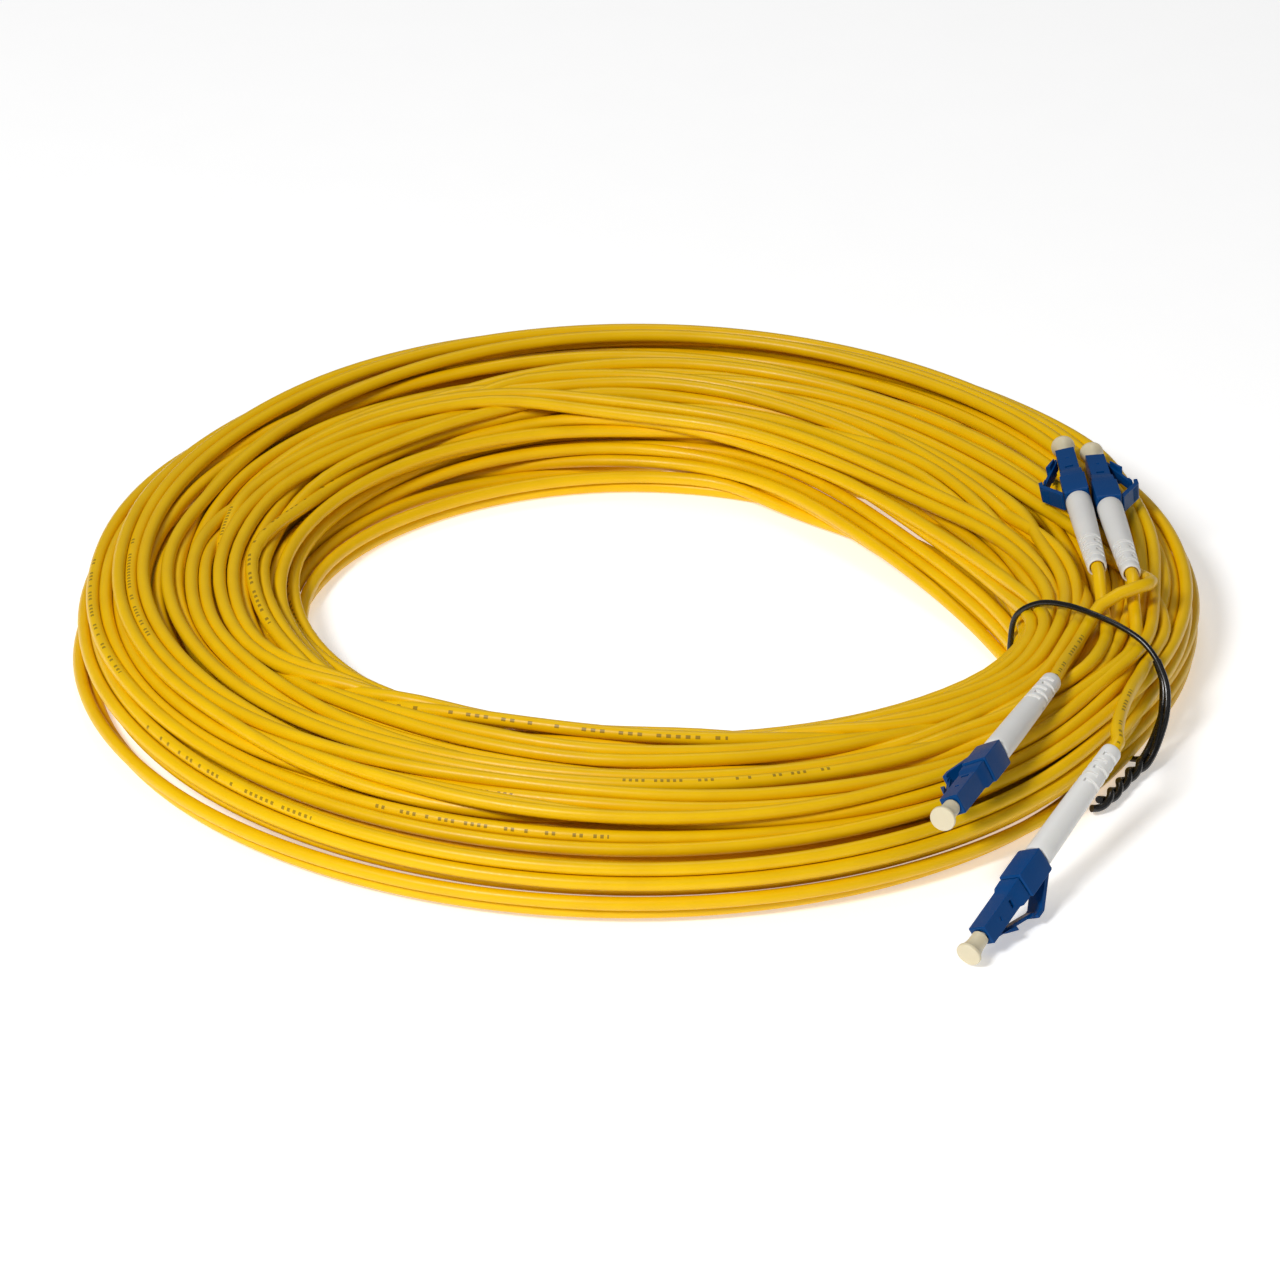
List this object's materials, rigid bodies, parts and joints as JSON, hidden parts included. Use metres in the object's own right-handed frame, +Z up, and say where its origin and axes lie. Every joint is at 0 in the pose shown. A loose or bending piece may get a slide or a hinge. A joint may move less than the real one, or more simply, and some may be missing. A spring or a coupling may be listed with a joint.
{
  "type": "fiber optic patch cord",
  "caption": "Yellow duplex fibre optic patch cord wound in a loose coil and held by a black wire tie, with a capped blue LC type connector and a white boot on each leg.",
  "frame": {"origin": "on the floor under the middle of the whole set's footprint", "axes": "+Z up; +Y from the near pair of connectors across the coil; +X to the side where the tie and the connectors are"},
  "size_m": [0.2629, 0.2814, 0.0279],
  "materials": {
    "jacket_yellow": "smooth satin PVC jacket",
    "housing_blue": "moulded, satin gloss",
    "boot_white": "soft moulded elastomer",
    "cap_ivory": "soft moulded polyethylene",
    "tie_black": "glossy plastic over wire",
    "ceramic_white": "ground zirconia",
    "nickel": "nickel plated brass",
    "spring_steel": "drawn wire",
    "aramid_gold": "fine yarn",
    "buffer_white": "smooth tight buffer"
  },
  "bodies": {
    "cord": {"cable_coil": "jacket_yellow", "wire_tie": "tie_black", "wire_tie_twist": "tie_black", "a1_plug_body": "housing_blue", "a1_rear_body": "housing_blue", "a1_backpost": "nickel", "a1_aramid_yarn": "aramid_gold", "a1_crimp_sleeve": "nickel", "a1_buffered_fiber": "buffer_white", "a1_boot": "boot_white", "a1_spring": "spring_steel", "a1_cord_leg": "jacket_yellow", "a2_plug_body": "housing_blue", "a2_rear_body": "housing_blue", "a2_backpost": "nickel", "a2_aramid_yarn": "aramid_gold", "a2_crimp_sleeve": "nickel", "a2_buffered_fiber": "buffer_white", "a2_boot": "boot_white", "a2_spring": "spring_steel", "a2_cord_leg": "jacket_yellow", "b1_plug_body": "housing_blue", "b1_rear_body": "housing_blue", "b1_backpost": "nickel", "b1_aramid_yarn": "aramid_gold", "b1_crimp_sleeve": "nickel", "b1_buffered_fiber": "buffer_white", "b1_boot": "boot_white", "b1_spring": "spring_steel", "b1_cord_leg": "jacket_yellow", "b2_plug_body": "housing_blue", "b2_rear_body": "housing_blue", "b2_backpost": "nickel", "b2_aramid_yarn": "aramid_gold", "b2_crimp_sleeve": "nickel", "b2_buffered_fiber": "buffer_white", "b2_boot": "boot_white", "b2_spring": "spring_steel", "b2_cord_leg": "jacket_yellow"},
    "a1_cap": {"a1_dust_cap": "cap_ivory"},
    "a1_ferrule_set": {"a1_ferrule": "ceramic_white", "a1_ferrule_flange": "nickel"},
    "a1_latch_arm": {"a1_latch": "housing_blue"},
    "a1_trigger_lever": {"a1_trigger": "housing_blue"},
    "a2_cap": {"a2_dust_cap": "cap_ivory"},
    "a2_ferrule_set": {"a2_ferrule": "ceramic_white", "a2_ferrule_flange": "nickel"},
    "a2_latch_arm": {"a2_latch": "housing_blue"},
    "a2_trigger_lever": {"a2_trigger": "housing_blue"},
    "b1_cap": {"b1_dust_cap": "cap_ivory"},
    "b1_ferrule_set": {"b1_ferrule": "ceramic_white", "b1_ferrule_flange": "nickel"},
    "b1_latch_arm": {"b1_latch": "housing_blue"},
    "b1_trigger_lever": {"b1_trigger": "housing_blue"},
    "b2_cap": {"b2_dust_cap": "cap_ivory"},
    "b2_ferrule_set": {"b2_ferrule": "ceramic_white", "b2_ferrule_flange": "nickel"},
    "b2_latch_arm": {"b2_latch": "housing_blue"},
    "b2_trigger_lever": {"b2_trigger": "housing_blue"}
  },
  "joints": [
    {"name": "a1_cap_slide", "type": "slide", "parent": "cord", "child": "a1_cap", "axis": [-0.3961, -0.9182, 0.01], "range_m": [0, 0.005]},
    {"name": "a1_ferrule_slide", "type": "slide", "parent": "cord", "child": "a1_ferrule_set", "axis": [0.3961, 0.9182, -0.01], "range_m": [0, 0.0006], "stiffness_N_per_m": 1000, "deforming": ["a1_spring"]},
    {"name": "a1_trigger_hinge", "type": "hinge", "parent": "cord", "child": "a1_trigger_lever", "pos_m": [0.07212, -0.09166, 0.02246], "axis": [-0.4449, 0.2014, 0.8726], "range_deg": [0, 14.5]},
    {"name": "a1_latch_hinge", "type": "hinge", "parent": "cord", "child": "a1_latch_arm", "pos_m": [0.06527, -0.10917, 0.02301], "axis": [0.4449, -0.2014, -0.8726], "range_deg": [0, 10], "stiffness_Nm_per_rad": 0.3},
    {"name": "a2_cap_slide", "type": "slide", "parent": "cord", "child": "a2_cap", "axis": [-0.4922, -0.8323, -0.2551], "range_m": [0, 0.005]},
    {"name": "a2_ferrule_slide", "type": "slide", "parent": "cord", "child": "a2_ferrule_set", "axis": [0.4922, 0.8323, 0.2551], "range_m": [0, 0.0006], "stiffness_N_per_m": 1000, "deforming": ["a2_spring"]},
    {"name": "a2_trigger_hinge", "type": "hinge", "parent": "cord", "child": "a2_trigger_lever", "pos_m": [0.08399, -0.11511, 0.00772], "axis": [-0.7069, 0.5531, -0.4408], "range_deg": [0, 14.5]},
    {"name": "a2_latch_hinge", "type": "hinge", "parent": "cord", "child": "a2_latch_arm", "pos_m": [0.07436, -0.13073, 0.00356], "axis": [0.7069, -0.5531, 0.4408], "range_deg": [0, 10], "stiffness_Nm_per_rad": 0.3},
    {"name": "b1_cap_slide", "type": "slide", "parent": "cord", "child": "b1_cap", "axis": [-0.051, 0.998, -0.036], "range_m": [0, 0.005]},
    {"name": "b1_ferrule_slide", "type": "slide", "parent": "cord", "child": "b1_ferrule_set", "axis": [0.051, -0.998, 0.036], "range_m": [0, 0.0006], "stiffness_N_per_m": 1000, "deforming": ["b1_spring"]},
    {"name": "b1_trigger_hinge", "type": "hinge", "parent": "cord", "child": "b1_trigger_lever", "pos_m": [0.09847, 0.03365, 0.02245], "axis": [0.2117, -0.0244, -0.977], "range_deg": [0, 14.5]},
    {"name": "b1_latch_hinge", "type": "hinge", "parent": "cord", "child": "b1_latch_arm", "pos_m": [0.09824, 0.05245, 0.02193], "axis": [-0.2117, 0.0244, 0.977], "range_deg": [0, 10], "stiffness_Nm_per_rad": 0.3},
    {"name": "b2_cap_slide", "type": "slide", "parent": "cord", "child": "b2_cap", "axis": [-0.065, 0.9972, -0.038], "range_m": [0, 0.005]},
    {"name": "b2_ferrule_slide", "type": "slide", "parent": "cord", "child": "b2_ferrule_set", "axis": [0.065, -0.9972, 0.038], "range_m": [0, 0.0006], "stiffness_N_per_m": 1000, "deforming": ["b2_spring"]},
    {"name": "b2_trigger_hinge", "type": "hinge", "parent": "cord", "child": "b2_trigger_lever", "pos_m": [0.11158, 0.031, 0.02321], "axis": [-0.0622, 0.034, 0.9975], "range_deg": [0, 14.5]},
    {"name": "b2_latch_hinge", "type": "hinge", "parent": "cord", "child": "b2_latch_arm", "pos_m": [0.10962, 0.0497, 0.02245], "axis": [0.0622, -0.034, -0.9975], "range_deg": [0, 10], "stiffness_Nm_per_rad": 0.3}
  ],
  "couplings": [
    {"joint": "a1_trigger_hinge", "follows": "a1_latch_hinge", "ratio": 1.4},
    {"joint": "a2_trigger_hinge", "follows": "a2_latch_hinge", "ratio": 1.4},
    {"joint": "b1_trigger_hinge", "follows": "b1_latch_hinge", "ratio": 1.4},
    {"joint": "b2_trigger_hinge", "follows": "b2_latch_hinge", "ratio": 1.4}
  ]
}
